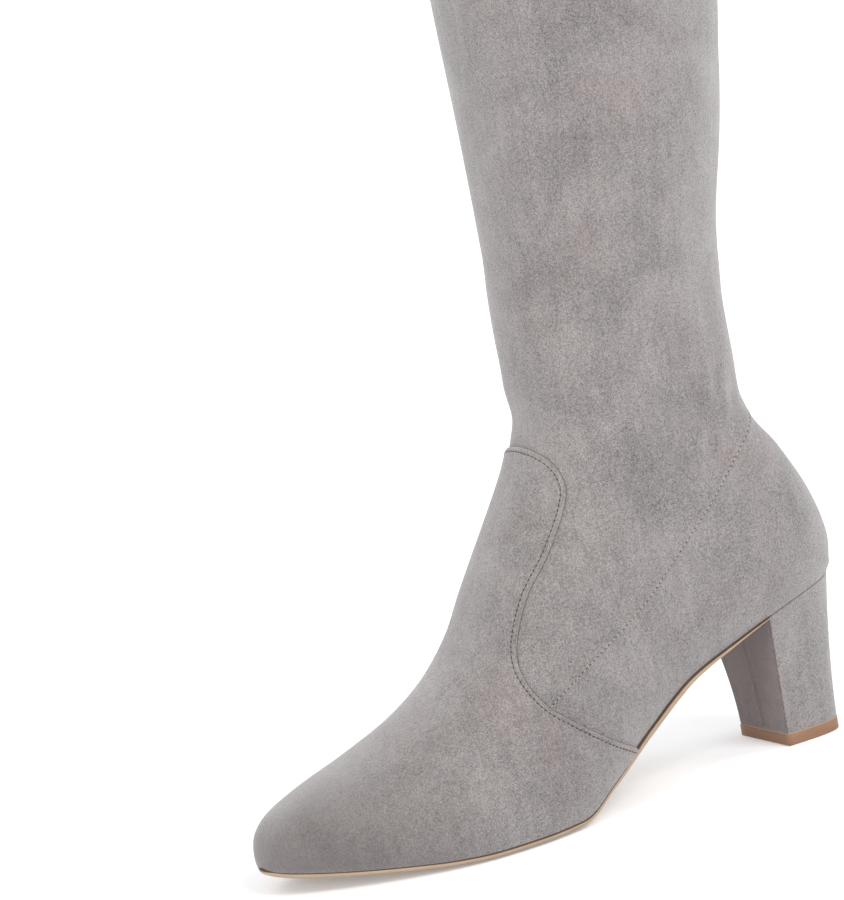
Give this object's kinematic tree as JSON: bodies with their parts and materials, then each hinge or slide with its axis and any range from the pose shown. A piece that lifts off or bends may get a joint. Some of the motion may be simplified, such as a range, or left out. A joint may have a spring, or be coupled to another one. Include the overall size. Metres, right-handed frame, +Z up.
{
  "type": "thigh high boot",
  "caption": "Left thigh high boot with rounded toe, slim shaft, inner ankle zip with pull tab, and covered block heel.",
  "frame": {"origin": "centre of the heel's top lift, on the floor", "axes": "+X towards the toe, +Y towards the outer side of the foot, +Z up"},
  "size_m": [0.2539, 0.1216, 0.6401],
  "materials": {
    "suede": "brushed nap",
    "insole": "matte",
    "sole": "satin",
    "lift": "satin",
    "zip_tape": "woven",
    "zip_coil": "satin",
    "gunmetal": "polished gunmetal"
  },
  "bodies": {
    "boot": {"upper": "suede", "vamp": "suede", "insole": "insole", "outsole": "sole", "heel": "suede", "heel_lift": "lift", "zip_tape": "zip_tape", "zip_coil": "zip_coil", "zip_slider": "gunmetal"},
    "zip_pull": {"zip_pull": "gunmetal"}
  },
  "joints": [
    {"name": "pull_hinge", "type": "hinge", "parent": "boot", "child": "zip_pull", "pos_m": [0.03022, -0.044, 0.2518], "axis": [-0.9799, 0.1918, -0.0554], "range_deg": [-9, 140]}
  ]
}
